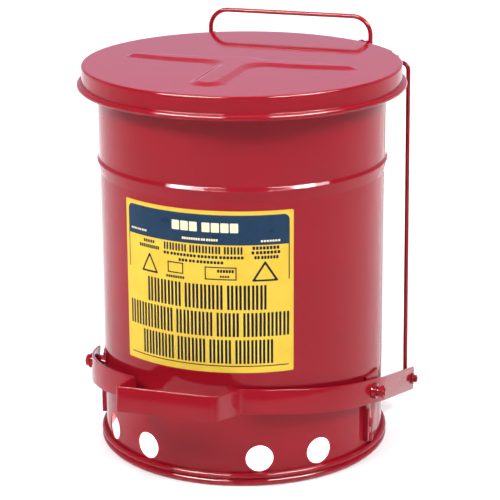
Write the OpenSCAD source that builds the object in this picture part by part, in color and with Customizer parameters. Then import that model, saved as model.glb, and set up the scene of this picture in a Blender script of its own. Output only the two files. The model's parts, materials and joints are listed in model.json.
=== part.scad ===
// Foot-operated oily waste can. The can's axis is Z, the floor is z = 0,
// the pedal is at the front (-Y) and the lid hinge at the back (+Y). Millimetres.

/* [Can body] */
// Outside diameter of the lower can wall
body_d = 292; // [288:1:296]
// Thickness of the sheet steel wall
wall_t = 1.2; // [1:0.1:1.5]
// Height of the rolled top rim
rim_z = 400; // [396:1:410]
// Height of the ridge of the swaged bead
bead_z = 305; // [290:1:315]
// How far the bead stands out of the lower wall
bead_proud = 2.8; // [2:0.1:3.5]
// Step out of the wall above the bead
upper_step = 0.7; // [0.4:0.1:1]
// Top of the raised floor pan
floor_z = 58; // [52:1:70]

/* [Foot ring and vents] */
// Outside diameter of the foot ring
foot_d = 302; // [300:1:304]
// Height of the foot ring
foot_h = 14; // [14:1:16]
// Diameter of each vent hole
vent_d = 27.2; // [20:0.2:30]
// Height of the vent holes' centres
vent_z = 28.5; // [28:0.5:34]

/* [Lid] */
// Top face of the lid
lid_z = 401.5; // [401.5:0.1:401.8]
// Outside diameter of the lid's skirt
skirt_d = 325; // [321:1:326]
// Height of the raised panel on the lid
emboss_h = 2.6; // [2:0.1:4]
// Half length of the raised panel's crossbar
emboss_half = 121.5; // [100:0.5:125]
// Reach of the raised panel's stem towards the front
stem_reach = 122.8; // [100:0.1:126]

/* [Hinge and stop loop] */
// Distance of the lid hinge behind the can's axis
hinge_y = 170; // [169:0.5:172]
// Height of the lid hinge
hinge_z = 387.5; // [386:0.5:389]
// Diameter of the hinge pin
hinge_pin_d = 6; // [5:0.5:6]
// Outside width of the stop loop
loop_w = 186; // [180:1:190]
// Height of the loop's top bar
loop_z = 421.1; // [421.1:0.1:424]
// Diameter of the loop's wire
loop_wire_d = 4.8; // [4:0.2:5]

/* [Foot lever] */
// Height of the lever's pivots
pivot_z = 75; // [72:1:78]
// Distance of the pivots in front of the can's axis
pivot_y = -35.5; // [-38:0.5:-34]
// Height of the lever's strip
band_h = 25.4; // [22:0.2:26]
// Thickness of the lever's strip
band_t = 2.5; // [2:0.1:3]
// Outside radius of the strip on the right
band_r_right = 155.5; // [155:0.5:157]
// Outside radius of the strip on the left
band_r_left = 160.5; // [159:0.5:162]
// Tilt of the front of the lever at rest
front_tilt = 9; // [8:0.5:10]
// Slope of the rear arm at rest
arm_tilt = 14.8; // [14:0.1:15]
// Distance of the pedal's face in front of the can's axis
pedal_reach = 195; // [185:1:200]
// Left end of the pedal
pedal_left = -70; // [-80:1:-60]
// Right end of the pedal's flat
pedal_right = 33; // [25:1:36]

/* [Lift rod] */
// Diameter of the lift rod
rod_d = 4.5; // [4:0.1:4.5]
// Distance of the rod's lower pivot behind the can's axis
rod_low_y = 110; // [108:0.5:111]
// Height of the rod's lower pivot
rod_low_z = 36.5; // [36:0.5:38]
// Distance of the rod's upper end behind the can's axis
rod_top_y = 110; // [109:0.5:111]
// Height of the rod's upper end
rod_top_z = 386.5; // [386:0.1:387]

/* [Label] */
// Bottom of the label
label_z = 120; // [110:1:130]
// Height of the label
label_h = 165; // [150:1:168]
// Angle that the label spans
label_angle = 71.2; // [60:0.2:80]

/* [Hidden] */
$fn = 96;

safety_red = [0.66, 0.12, 0.16];
zinc = [0.72, 0.72, 0.70];
label_yellow = [0.95, 0.83, 0.25];

body_r = body_d / 2;
upper_r = body_r + upper_step;
inner_r = body_r - wall_t;
curl_r = 2.5;
wire_r = curl_r - wall_t;
curl_axis_r = upper_r + wire_r;
curl_axis_z = rim_z - curl_r;
bead_slope = 12;                 // height of the bead's lower slope
ring_clip = 1.4;                 // thickness of the foot ring's inner lip
ring_roll = 2.7;                 // radius of each rolled ridge
vent_angles = [24, 49];

lid_t = wall_t;
skirt_r = skirt_d / 2;
hem_r = 3.1;
hem_z = 380.9;
edge_r = 2;

saddle_t = 2.4;
saddle_r = body_r + saddle_t;
rear_saddle_r = upper_r + saddle_t;
bracket_from = 75;               // angle from the front where a pivot bracket starts
bracket_to = 87;
bracket_rib = 5.5;
boss_r = 7;
stud_r = 4;
bush_r = 8;
run = 0.05;                      // radial running clearance
gap = 0.3;                       // side clearance between moving parts
bush_right_x = 148.3;
bush_left_x = 153.5;
bush_len = 5;
washer_t = 1;
nut_h = 4;
nut_x = 158.5;
rivet_r = 1.9;
head_h = 2;
head_r = 4.6;
bracket_rivet_angle = 80;
bracket_rivet_z = [20, 36];

wing_x = 87;                     // middle of each hinge wing
wing_t = 2.4;
ear_x = 83.7;                    // middle of each lid ear
ear_t = 2.4;
strap_t = 2.4;
strap_r = skirt_r + strap_t;
strap_z = [385.5, 400.5];
strap_half_angle = 53.5;
strap_rivet_angles = [-49, -28, -8, 8, 28, 49];
strap_rivet_z = 395.5;
hinge_rivet_angles = [-26, -9, 9, 26];
hinge_rivet_z = 350;
pin_r = hinge_pin_d / 2;

lift_ear_x = 131;
lift_ear_t = 2.4;
slot_r = 3.8;
slot_run = 8.5;                  // travel of the slot's centre
slot_lead = 1.2;                 // slot's first centre behind the rod at rest
slot_drop = 0.35;
lift_ear_wall = 2;               // steel left round the slot

loop_r = loop_wire_d / 2;
loop_x = loop_w / 2 - loop_r;
loop_bend = 20;
loop_foot_z = 352;

rod_r = rod_d / 2;
rod_bend_low = 5;
rod_bend_top = 8;
rod_lean = 0.41;                 // the rod leans this much towards the can
rod_rise = rod_top_z - rod_low_z;
rod_pitch = atan((rod_low_y - rod_top_y) / rod_rise);
// Positions along X in the rod's frame, where the top stands 2.5 mm further out than in the can's.
rod_leg_x = 154.5;               // the lower bend ends here
rod_leg_end = 163.4;
rod_washer_x = 157.9;
rod_washer_t = 1.2;
rod_top_end = 129.8;
top_washer_t = 1;
top_washer_in_x = 132.2;
top_washer_out_x = 136.3;
arm_end_y = 117.5;
arm_mid_x = 156.3;               // middle of the strip at the arm's rear end
big = 400;

// ---------- shared shapes ----------

// A point at a radius and an angle from the front, seen from above, positive to the right.
function from_front(r, a) = [r * sin(a), -r * cos(a)];

// Turns to an angle measured from the front, so that +X points outwards there.
module at_front_angle(a) { rotate([0, 0, a - 90]) children(); }

// The same, measured from the back.
module at_back_angle(a) { rotate([0, 0, a + 90]) children(); }

// A curved plate between two angles from the front.
module curved_plate(r0, r1, z0, z1, a0, a1) {
    rotate([0, 0, a0 - 90])
        rotate_extrude(angle = a1 - a0)
            translate([r0, z0]) square([r1 - r0, z1 - z0]);
}

// An outline in the Y-Z plane made into a plate between two X positions.
module side_plate(x0, x1) {
    translate([x0, 0, 0])
        rotate([90, 0, 90])
            linear_extrude(height = x1 - x0) children();
}

// A cylinder along X between two X positions at a Y and Z.
module x_rod(x0, x1, y, z, r) {
    translate([x0, y, z]) rotate([0, 90, 0]) cylinder(h = x1 - x0, r = r);
}

// A washer along X.
module x_washer(x0, t, y, z, r_out, r_in) {
    difference() {
        x_rod(x0, x0 + t, y, z, r_out);
        x_rod(x0 - 1, x0 + t + 1, y, z, r_in);
    }
}

// A hexagonal nut along X.
module x_nut(x0, h, y, z, across_flats, r_in) {
    difference() {
        translate([x0, y, z])
            rotate([0, 90, 0])
                cylinder(h = h, r = across_flats / sqrt(3), $fn = 6);
        x_rod(x0 - 1, x0 + h + 1, y, z, r_in);
    }
}

// A rivet along +X from an inner radius to an outer one, with a low domed head outside and a
// flatter one inside, which stands just clear of the curved wall.
module rivet(r0, r1) {
    back = r0 - 0.12;
    back_h = 1.2;
    rotate([0, 90, 0]) {
        translate([0, 0, back]) cylinder(h = r1 - back, r = rivet_r);
        translate([0, 0, r1]) cylinder(h = head_h, r1 = head_r, r2 = head_r * 0.6);
        translate([0, 0, back - back_h])
            cylinder(h = back_h, r1 = head_r * 0.7, r2 = head_r * 0.9);
    }
}

// The space that a rivet's shank takes.
module rivet_hole(r0, r1) {
    translate([r0, 0, 0]) rotate([0, 90, 0]) cylinder(h = r1 - r0, r = rivet_r);
}

module at_bracket_rivets(side) {
    for (z = bracket_rivet_z)
        at_front_angle(side * bracket_rivet_angle) translate([0, 0, z]) children();
}

module at_hinge_rivets() {
    for (a = hinge_rivet_angles)
        at_back_angle(a) translate([0, 0, hinge_rivet_z]) children();
}

module at_strap_rivets() {
    for (a = strap_rivet_angles)
        at_back_angle(a) translate([0, 0, strap_rivet_z]) children();
}

// Side 1 is the can's right as seen from the front, side -1 its left.
module mirror_side(side) { mirror([side < 0 ? 1 : 0, 0, 0]) children(); }

// ---------- can body ----------

// Half section of the wall, bead and rolled rim.
module wall_section() {
    crest = body_r + bead_proud;
    difference() {
        union() {
            polygon([
                [inner_r, 1.5], [body_r, 1.5],
                [body_r, bead_z - bead_slope], [crest - 0.3, bead_z - 1],
                [crest, bead_z], [crest - 0.4, bead_z + 1],
                [upper_r, bead_z + 2.2], [upper_r, curl_axis_z],
                [upper_r - wall_t, curl_axis_z], [upper_r - wall_t, bead_z + 2.8],
                [crest - wall_t - 0.4, bead_z + 0.6], [crest - wall_t - 0.3, bead_z - 1],
                [inner_r, bead_z - bead_slope + 0.3]
            ]);
            translate([curl_axis_r, curl_axis_z]) circle(r = curl_r);
        }
        translate([curl_axis_r, curl_axis_z]) circle(r = wire_r);
    }
}

module body_shell() {
    color(safety_red)
    difference() {
        rotate_extrude() wall_section();
        for (back = [0, 180], side = [-1, 1], a = vent_angles)
            at_front_angle(back + side * a)
                translate([body_r - 20, 0, vent_z])
                    rotate([0, 90, 0]) cylinder(h = 40, d = vent_d);
        for (side = [-1, 1])
            at_bracket_rivets(side) rivet_hole(body_r - 10, body_r + 10);
        at_hinge_rivets() rivet_hole(body_r - 10, body_r + 10);
    }
}

module floor_pan() {
    flange_h = 12;
    color(safety_red)
    rotate_extrude() {
        translate([0, floor_z - wall_t]) square([inner_r, wall_t]);
        translate([inner_r - wall_t, floor_z - flange_h]) square([wall_t, flange_h]);
    }
}

module base_ring() {
    foot_r = foot_d / 2;
    roll_r = foot_r - ring_roll;
    lip_r = inner_r - ring_clip;
    color(safety_red)
    rotate_extrude()
    difference() {
        union() {
            translate([lip_r, 0]) square([foot_r - 1.5 - lip_r, 1.5]);
            translate([lip_r, 0]) square([ring_clip, 9]);
            translate([body_r, 1]) square([foot_r - 1.6 - body_r, foot_h - 3]);
            translate([roll_r, foot_h - ring_roll]) circle(r = ring_roll);
            translate([roll_r, ring_roll + 2.2]) circle(r = ring_roll);
        }
        translate([0, 1.5]) square([body_r, big]);
        translate([lip_r + ring_clip, 1.5]) square([body_r - lip_r - ring_clip, big]);
    }
    color(safety_red)
    rotate_extrude()
        translate([lip_r, 1]) square([ring_clip, 8]);
}

module rim_wire() {
    color(zinc)
    rotate_extrude() translate([curl_axis_r, curl_axis_z]) circle(r = wire_r);
}

module label() {
    label_t = 0.35;
    label_turn = 2;              // the label sits a little to the right of the front
    color(label_yellow)
    curved_plate(body_r, body_r + label_t, label_z, label_z + label_h,
                 label_turn - label_angle / 2, label_turn + label_angle / 2);
}

// ---------- lever brackets and pivots ----------

module pivot_bracket(side, bush_x) {
    top_z = 90;
    rib_z = 55;                  // the rib is shallower above this, behind the lever
    low_end_r = 15.5;
    low_end_y = from_front(body_r, (bracket_from + bracket_to) / 2)[1];
    rib_to = bracket_from + 1;
    color(safety_red)
    mirror_side(side)
    difference() {
        union() {
            intersection() {
                curved_plate(body_r - 2, saddle_r, foot_h + 1, top_z, bracket_from, bracket_to);
                side_plate(100, 200)
                    translate([low_end_y, foot_h + 1 + low_end_r]) {
                        translate([-low_end_r, 0]) square([2 * low_end_r, big]);
                        circle(r = low_end_r);
                    }
            }
            curved_plate(body_r - 2, body_r + bracket_rib, foot_h + 6, rib_z,
                         bracket_from - 0.2, rib_to);
            curved_plate(body_r - 2, body_r + 3.2, rib_z - 1, top_z - 4,
                         bracket_from - 0.1, rib_to - 0.1);
            x_rod(body_r - 12, bush_x - gap, pivot_y, pivot_z, boss_r);
        }
        cylinder(h = big, r = body_r);
        x_rod(0, big, pivot_y, pivot_z, stud_r);
        at_bracket_rivets(1) rivet_hole(body_r - 10, body_r + 10);
    }
}

module pivot_bracket_right() { pivot_bracket(1, bush_right_x); }
module pivot_bracket_left() { pivot_bracket(-1, bush_left_x); }

module bracket_rivets() {
    color(safety_red)
    for (side = [-1, 1])
        at_bracket_rivets(side) rivet(inner_r, saddle_r);
}

// A stud welded into the bracket, with a rounded free end.
module pivot_stud(side, end_x) {
    color(safety_red)
    mirror_side(side)
    difference() {
        union() {
            x_rod(body_r - 12, end_x - 1, pivot_y, pivot_z, stud_r);
            translate([end_x - 1, pivot_y, pivot_z])
                rotate([0, 90, 0]) cylinder(h = 1, r1 = stud_r, r2 = stud_r - 1);
        }
        cylinder(h = big, r = body_r);
    }
}

module pivot_stud_right() { pivot_stud(1, nut_x + nut_h + 1.2); }
module pivot_stud_left() { pivot_stud(-1, bush_left_x + bush_len + 2 * washer_t + nut_h + 1.2); }

right_washer_x = bush_right_x + bush_len + 0.2;
left_washer_x = bush_left_x + bush_len + 0.2;

module pivot_spacer() {
    color(safety_red)
    x_washer(right_washer_x + washer_t, nut_x - right_washer_x - washer_t,
             pivot_y, pivot_z, 5.2, stud_r);
}

module pivot_washers() {
    color(safety_red) {
        x_washer(right_washer_x, washer_t, pivot_y, pivot_z, 8, stud_r);
        mirror([1, 0, 0]) x_washer(left_washer_x, washer_t, pivot_y, pivot_z, 8, stud_r);
    }
}

module pivot_nuts() {
    color(safety_red) {
        x_nut(nut_x, nut_h, pivot_y, pivot_z, 12, stud_r);
        mirror([1, 0, 0])
            x_nut(left_washer_x + washer_t, nut_h, pivot_y, pivot_z, 12, stud_r);
    }
}

// ---------- hinge bracket, pin and stop loop ----------

hinge_saddle_z = [329, 371];

module wing_outline() {
    eye_r = 8;
    low = hinge_saddle_z[0] - 0.3;
    high = hinge_saddle_z[1] + 0.3;
    polygon([[110, low], [136, low], [hinge_y + eye_r, 351], [hinge_y + eye_r, hinge_z],
             [hinge_y - eye_r, hinge_z], [hinge_y - eye_r - 3, high], [110, high]]);
    translate([hinge_y, hinge_z]) circle(r = eye_r);
}

module hinge_bracket() {
    half_angle = 36;
    color(safety_red)
    difference() {
        union() {
            curved_plate(upper_r - 2, rear_saddle_r, hinge_saddle_z[0], hinge_saddle_z[1],
                         180 - half_angle, 180 + half_angle);
            for (x = [-wing_x, wing_x])
                side_plate(x - wing_t / 2, x + wing_t / 2) wing_outline();
        }
        cylinder(h = big, r = upper_r);
        x_rod(-200, 200, hinge_y, hinge_z, pin_r);
        at_hinge_rivets() rivet_hole(body_r - 10, body_r + 10);
    }
}

module hinge_bracket_rivets() {
    color(safety_red)
    at_hinge_rivets() rivet(upper_r - wall_t, rear_saddle_r);
}

module hinge_pin() {
    half = wing_x + wing_t / 2;
    color(zinc)
    x_rod(-half, half, hinge_y, hinge_z, pin_r);
}

// One continuous wire: two legs welded to the wings, two bends and the top bar.
module stop_loop() {
    corner = loop_x - loop_bend;
    corner_z = loop_z - loop_bend;
    color(safety_red) {
        for (side = [-1, 1]) {
            translate([side * loop_x, hinge_y, loop_foot_z])
                cylinder(h = corner_z - loop_foot_z, r = loop_r);
            mirror_side(side)
                translate([corner, hinge_y, corner_z])
                    rotate([90, 0, 0])
                        rotate_extrude(angle = 90)
                            translate([loop_bend, 0]) circle(r = loop_r);
        }
        x_rod(-corner, corner, hinge_y, loop_z, loop_r);
    }
}

// ---------- lid ----------

// The T-shaped raised panel, drawn smaller by an inset.
module emboss_outline(inset) {
    half = emboss_half - 1.4 * inset;
    back = 10 - inset;
    front = -18.5 + inset;
    stem_r = 17 - inset;
    fillet = 22;
    shoulder = stem_r + fillet;
    polygon([[-half, -6], [-half + 14, back - 1.5], [-half + 34, back],
             [half - 34, back], [half - 14, back - 1.5], [half, -6],
             [half - 12, front + 1.5], [half - 40, front],
             [-half + 40, front], [-half + 12, front + 1.5]]);
    translate([-stem_r, 17 - stem_reach]) square([2 * stem_r, stem_reach - 17]);
    translate([0, 17 - stem_reach]) circle(r = stem_r);
    difference() {
        translate([-shoulder, front - fillet]) square([2 * shoulder, fillet + 1]);
        for (side = [-1, 1])
            translate([side * shoulder, front - fillet]) circle(r = fillet);
    }
}

// Half section of the lid's top, skirt and rolled hem.
module lid_section() {
    hem_axis = skirt_r - lid_t + hem_r;
    difference() {
        union() {
            translate([0, lid_z - lid_t]) square([skirt_r - edge_r, lid_t]);
            translate([skirt_r - lid_t, hem_z]) square([lid_t, lid_z - edge_r - hem_z]);
            intersection() {
                translate([skirt_r - edge_r, lid_z - edge_r])
                    difference() {
                        circle(r = edge_r);
                        circle(r = edge_r - lid_t);
                    }
                translate([skirt_r - edge_r, lid_z - edge_r]) square(edge_r);
            }
            translate([hem_axis, hem_z]) circle(r = hem_r);
        }
        translate([hem_axis, hem_z]) circle(r = hem_r - lid_t);
    }
}

module lid_panel() {
    color(safety_red)
    difference() {
        union() {
            rotate_extrude() lid_section();
            translate([0, 0, lid_z - 0.5])
                linear_extrude(height = emboss_h + 0.5) emboss_outline(0);
        }
        translate([0, 0, lid_z - lid_t - 1])
            linear_extrude(height = emboss_h + 1) emboss_outline(lid_t);
        at_strap_rivets() rivet_hole(skirt_r - 10, skirt_r + 10);
    }
}

module ear_outline() {
    eye_r = 7.5;
    polygon([[130, strap_z[0]], [130, strap_z[1]], [hinge_y - 10, strap_z[1] - 2],
             [hinge_y + 5.6, hinge_z + 5], [hinge_y, hinge_z], [hinge_y - 6.6, strap_z[0]]]);
    translate([hinge_y, hinge_z]) circle(r = eye_r);
}

// The ear that the lift rod pushes, with its lost-motion slot.
module lift_ear_outline() {
    near_y = rod_top_y + slot_lead;
    far_y = near_y + slot_run;
    slot_z = rod_top_z - slot_drop;
    end_r = slot_r + lift_ear_wall;
    hem_top = hem_z + hem_r + gap;
    hem_back = 105;
    difference() {
        union() {
            polygon([[90, hem_top], [90, 399], [near_y, slot_z + 8], [far_y, slot_z + end_r],
                     [far_y, slot_z - end_r], [hem_back, slot_z - end_r], [hem_back, hem_top]]);
            translate([far_y, slot_z]) circle(r = end_r);
        }
        for (y = [near_y, far_y])
            translate([y, slot_z]) circle(r = slot_r);
        translate([near_y, slot_z - slot_r]) square([slot_run, 2 * slot_r]);
    }
}

module lid_hinge_strap() {
    color(safety_red)
    difference() {
        union() {
            curved_plate(skirt_r, strap_r, strap_z[0], strap_z[1],
                         180 - strap_half_angle, 180 + strap_half_angle);
            for (x = [-ear_x, ear_x])
                side_plate(x - ear_t / 2, x + ear_t / 2) ear_outline();
            side_plate(lift_ear_x, lift_ear_x + lift_ear_t) lift_ear_outline();
        }
        translate([0, 0, strap_z[0] - 10]) cylinder(h = 40, r = skirt_r);
        x_rod(-200, 120, hinge_y, hinge_z, pin_r + run);
        at_strap_rivets() rivet_hole(skirt_r - 10, skirt_r + 10);
    }
}

module lid_strap_rivets() {
    color(safety_red)
    at_strap_rivets() rivet(skirt_r - lid_t, strap_r);
}

// ---------- foot lever ----------

// Plan of an arc of the strip between two angles from the front.
module band_arc(r_out, a0, a1) {
    reach = 2 * r_out;
    mid = (a0 + a1) / 2;
    intersection() {
        difference() {
            circle(r = r_out);
            circle(r = r_out - band_t);
        }
        polygon([[0, 0], from_front(reach, a0), from_front(reach, mid), from_front(reach, a1)]);
    }
}

// Plan of a straight stretch of the strip, round at both ends.
module band_line(p, q) {
    d = q - p;
    n = [-d[1], d[0]] * (band_t / 2 / norm(d));
    polygon([p + n, q + n, q - n, p - n]);
    translate(p) circle(r = band_t / 2);
    translate(q) circle(r = band_t / 2);
}

// Puts a plan, drawn about the can's axis, in the lever's tilted plane.
module lever_plane(tilt, bottom, top) {
    translate([0, pivot_y, pivot_z])
        rotate([-tilt, 0, 0])
            translate([0, -pivot_y, bottom])
                linear_extrude(height = top - bottom) children();
}

module front_plan() {
    mid_right = band_r_right - band_t / 2;
    mid_left = band_r_left - band_t / 2;
    pedal_y = -(pedal_reach - band_t / 2);
    left_x = pedal_left + band_t / 2;
    left_angle = asin(left_x / mid_left);
    step_x = 43;
    step_angle = asin(step_x / mid_right);
    bend = 7;                    // plan length that each soft bend of the right step takes
    left_end_angle = -84.5;
    corner = [pedal_right, pedal_y];
    foot = from_front(mid_right, step_angle);
    along = (foot - corner) / norm(foot - corner);
    band_arc(band_r_right, step_angle + 2.5, 80);
    band_arc(band_r_left, left_end_angle, left_angle);
    band_line(from_front(mid_left, left_angle), [left_x, pedal_y]);
    band_line([left_x, pedal_y], corner - [bend, 0]);
    band_line(corner - [bend, 0], corner + along * bend / 2 + [0, 1]);
    band_line(corner + along * bend / 2 + [0, 1], foot - along * bend / 2);
    band_line(foot - along * bend / 2, from_front(mid_right, step_angle + 2.5));
}

module arm_plan() {
    band_arc(band_r_right, 73, 90);
    start = [band_r_right - band_t / 2, 0];
    band_line(start, [arm_mid_x, arm_end_y * 1.035]);
}

module foot_lever() {
    color(safety_red)
    difference() {
        union() {
            lever_plane(front_tilt, -band_h / 2, band_h / 2) front_plan();
            intersection() {
                lever_plane(arm_tilt, -band_h / 2, band_h / 2) arm_plan();
                translate([0, -100, 0]) cube([200, 100 + arm_end_y, 200]);
            }
        }
        x_rod(130, 170, pivot_y, pivot_z, bush_r);
        x_rod(-170, -130, pivot_y, pivot_z, bush_r);
        x_rod(140, 180, rod_low_y, rod_low_z, rod_r + run);
    }
}

module pivot_bush_right() {
    color(safety_red)
    x_washer(bush_right_x, bush_len, pivot_y, pivot_z, bush_r, stud_r + run);
}

module pivot_bush_left() {
    color(safety_red)
    mirror([1, 0, 0]) x_washer(bush_left_x, bush_len, pivot_y, pivot_z, bush_r, stud_r + run);
}

// ---------- lift rod ----------

// Leans what is drawn about the lower pivot: upright in the X-Z plane, with z = 0 at the pivot.
module rod_frame() {
    translate([arm_mid_x, rod_low_y, rod_low_z])
        rotate([rod_pitch, -rod_lean, 0])
            translate([-arm_mid_x, 0, 0]) children();
}

// One bent wire: lower leg, bend, straight, bend and upper leg.
module lift_rod() {
    low_x = rod_leg_x - rod_bend_low;
    top_x = low_x - rod_bend_top;
    straight = rod_rise - rod_bend_low - rod_bend_top;
    color(safety_red)
    rod_frame() {
        x_rod(rod_leg_x, rod_leg_end, 0, 0, rod_r);
        translate([rod_leg_x, 0, rod_bend_low])
            rotate([90, 0, 0])
                rotate([0, 0, 180])
                    rotate_extrude(angle = 90) translate([rod_bend_low, 0]) circle(r = rod_r);
        translate([low_x, 0, rod_bend_low]) cylinder(h = straight, r = rod_r);
        translate([top_x, 0, rod_rise - rod_bend_top])
            rotate([90, 0, 0])
                rotate_extrude(angle = 90) translate([rod_bend_top, 0]) circle(r = rod_r);
        x_rod(rod_top_end, top_x, 0, rod_rise, rod_r);
    }
}

module rod_lower_washer() {
    color(safety_red)
    rod_frame() x_washer(rod_washer_x, rod_washer_t, 0, 0, 6, rod_r);
}

module rod_lower_nut() {
    color(safety_red)
    rod_frame() x_nut(rod_washer_x + rod_washer_t, 3.6, 0, 0, 8, rod_r);
}

module rod_top_washers() {
    color(zinc)
    rod_frame() {
        x_washer(top_washer_in_x, top_washer_t, 0, rod_rise, 4.5, rod_r);
        x_washer(top_washer_out_x, top_washer_t, 0, rod_rise, 4.5, rod_r);
    }
}

module rod_top_cap() {
    color(zinc)
    rod_frame() x_washer(rod_top_end, top_washer_in_x - rod_top_end, 0, rod_rise, 3.2, rod_r);
}

body_shell();
floor_pan();
base_ring();
rim_wire();
label();
pivot_bracket_right();
pivot_bracket_left();
bracket_rivets();
pivot_stud_right();
pivot_stud_left();
pivot_spacer();
pivot_washers();
pivot_nuts();
hinge_bracket();
hinge_bracket_rivets();
hinge_pin();
stop_loop();
lid_panel();
lid_hinge_strap();
lid_strap_rivets();
foot_lever();
pivot_bush_right();
pivot_bush_left();
lift_rod();
rod_lower_washer();
rod_lower_nut();
rod_top_washers();
rod_top_cap();
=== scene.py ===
import json
import math

import bmesh
import bpy
import numpy as np
from mathutils import Matrix, Vector


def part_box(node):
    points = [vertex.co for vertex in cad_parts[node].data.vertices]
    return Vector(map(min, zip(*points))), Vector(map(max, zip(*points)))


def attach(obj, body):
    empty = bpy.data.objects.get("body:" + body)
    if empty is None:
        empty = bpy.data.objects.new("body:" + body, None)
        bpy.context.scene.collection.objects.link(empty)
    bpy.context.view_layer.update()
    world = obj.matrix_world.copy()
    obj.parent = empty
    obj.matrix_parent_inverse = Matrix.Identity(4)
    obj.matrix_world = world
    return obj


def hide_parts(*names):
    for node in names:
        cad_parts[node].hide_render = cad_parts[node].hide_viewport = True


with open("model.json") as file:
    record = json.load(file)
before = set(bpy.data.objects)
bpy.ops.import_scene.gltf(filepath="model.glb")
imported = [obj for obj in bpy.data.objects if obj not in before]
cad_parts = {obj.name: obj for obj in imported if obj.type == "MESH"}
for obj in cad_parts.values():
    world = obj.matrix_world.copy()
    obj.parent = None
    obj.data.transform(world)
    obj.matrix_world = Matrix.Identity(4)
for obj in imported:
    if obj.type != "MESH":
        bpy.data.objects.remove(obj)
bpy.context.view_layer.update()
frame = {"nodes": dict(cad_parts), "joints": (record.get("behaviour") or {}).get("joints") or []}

# lengths are in millimetres, and MM turns them into Blender's metres
MM = 0.001
joints = {j["name"]: j for j in frame["joints"]}
LEVER_Y, LEVER_Z = (v / MM for v in joints["lever_pivot"]["pos_m"][1:])
ROD_X, ROD_Y, ROD_Z = (v / MM for v in joints["rod_pivot"]["pos_m"])
HINGE_Y, HINGE_Z = (v / MM for v in joints["lid_hinge"]["pos_m"][1:])


# ---------------------------------------------------------------- camera

CAMERA_LENS = 144.3
CAMERA_SENSOR = 36
CAMERA_PLACE = (0.6164, -1.8971, 0.8141)
AZIMUTH, PITCH, YAW, ROLL = (math.radians(a) for a in (18, 17.07, -0.21, -0.32))
# the level direction from the camera towards what stands behind the can
BEHIND = (-0.309, 0.951, 0)


def place_camera():
    """A long lens to the front right, looking a little down on the lid."""
    data = bpy.data.cameras.new("camera")
    data.lens = CAMERA_LENS
    data.sensor_width = CAMERA_SENSOR
    cam = bpy.data.objects.new("camera", data)
    bpy.context.scene.collection.objects.link(cam)
    cam.location = CAMERA_PLACE
    turn = (
        Matrix.Rotation(AZIMUTH + YAW, 4, "Z")
        @ Matrix.Rotation(math.pi / 2 - PITCH, 4, "X")
        @ Matrix.Rotation(ROLL, 4, "Z")
    )
    cam.rotation_mode = "QUATERNION"
    cam.rotation_quaternion = turn.to_quaternion()
    bpy.context.scene.camera = cam


place_camera()


# ---------------------------------------------------------------- materials

def new_material(name):
    """A material, its node tree and its shader."""
    mat = bpy.data.materials.new(name)
    mat.use_nodes = True
    tree = mat.node_tree
    return mat, tree, tree.nodes["Principled BSDF"]


def object_place(tree):
    """The point's place in the object's own metres."""
    return tree.nodes.new("ShaderNodeTexCoord").outputs["Object"]


def noise(tree, scale, detail=3.0, roughness=0.5):
    """Cloudy noise that is fixed to the object."""
    made = tree.nodes.new("ShaderNodeTexNoise")
    made.inputs["Scale"].default_value = scale
    made.inputs["Detail"].default_value = detail
    made.inputs["Roughness"].default_value = roughness
    tree.links.new(object_place(tree), made.inputs["Vector"])
    return made


def ramp(tree, source, low, high, low_at=0.3, high_at=0.7):
    """A colour that goes from low to high as the source rises."""
    made = tree.nodes.new("ShaderNodeValToRGB")
    made.color_ramp.elements[0].position = low_at
    made.color_ramp.elements[1].position = high_at
    made.color_ramp.elements[0].color = low
    made.color_ramp.elements[1].color = high
    tree.links.new(source, made.inputs["Fac"])
    return made


def span(tree, source, low, high, low_at=0.3, high_at=0.7):
    """A number that goes from low to high as the source rises."""
    made = tree.nodes.new("ShaderNodeMapRange")
    for key, value in zip(
        ("From Min", "From Max", "To Min", "To Max"), (low_at, high_at, low, high)
    ):
        made.inputs[key].default_value = value
    tree.links.new(source, made.inputs["Value"])
    return made


def bump(tree, shader, source, strength, distance, below=None):
    """A relief on the shader, on top of the one below it."""
    made = tree.nodes.new("ShaderNodeBump")
    made.inputs["Strength"].default_value = strength
    made.inputs["Distance"].default_value = distance
    tree.links.new(source, made.inputs["Height"])
    if below is not None:
        tree.links.new(below.outputs["Normal"], made.inputs["Normal"])
    tree.links.new(made.outputs["Normal"], shader.inputs["Normal"])
    return made


def grey(v):
    """An even grey as a colour."""
    return (v, v, v, 1)


RUBBED_RED = (0.62, 0.11, 0.13, 1)


def enamel(name, deep, light, rough=(0.045, 0.08), peel=0.05, wear=0.12):
    """Glossy baked enamel: slight mottling, orange peel and a rubbed edge."""
    mat, tree, shader = new_material(name)
    cloud = noise(tree, 9.0, 4.0)
    base = ramp(tree, cloud.outputs["Fac"], deep, light)
    edge = tree.nodes.new("ShaderNodeNewGeometry")
    worn = span(tree, edge.outputs["Pointiness"], 0.0, wear, 0.55, 0.64)
    mix = tree.nodes.new("ShaderNodeMix")
    mix.data_type = "RGBA"
    mix.inputs["B"].default_value = RUBBED_RED
    tree.links.new(worn.outputs["Result"], mix.inputs["Factor"])
    tree.links.new(base.outputs["Color"], mix.inputs["A"])
    tree.links.new(mix.outputs["Result"], shader.inputs["Base Color"])
    smear = noise(tree, 22.0, 5.0, 0.6)
    gloss = span(tree, smear.outputs["Fac"], rough[0], rough[1])
    tree.links.new(gloss.outputs["Result"], shader.inputs["Roughness"])
    wave = noise(tree, 70.0, 1.0)
    peel_noise = noise(tree, 520.0, 1.0)
    first = bump(tree, shader, wave.outputs["Fac"], peel, 0.0006)
    bump(tree, shader, peel_noise.outputs["Fac"], peel, 0.00008, first)
    shader.inputs["IOR"].default_value = 1.3
    return mat


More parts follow.
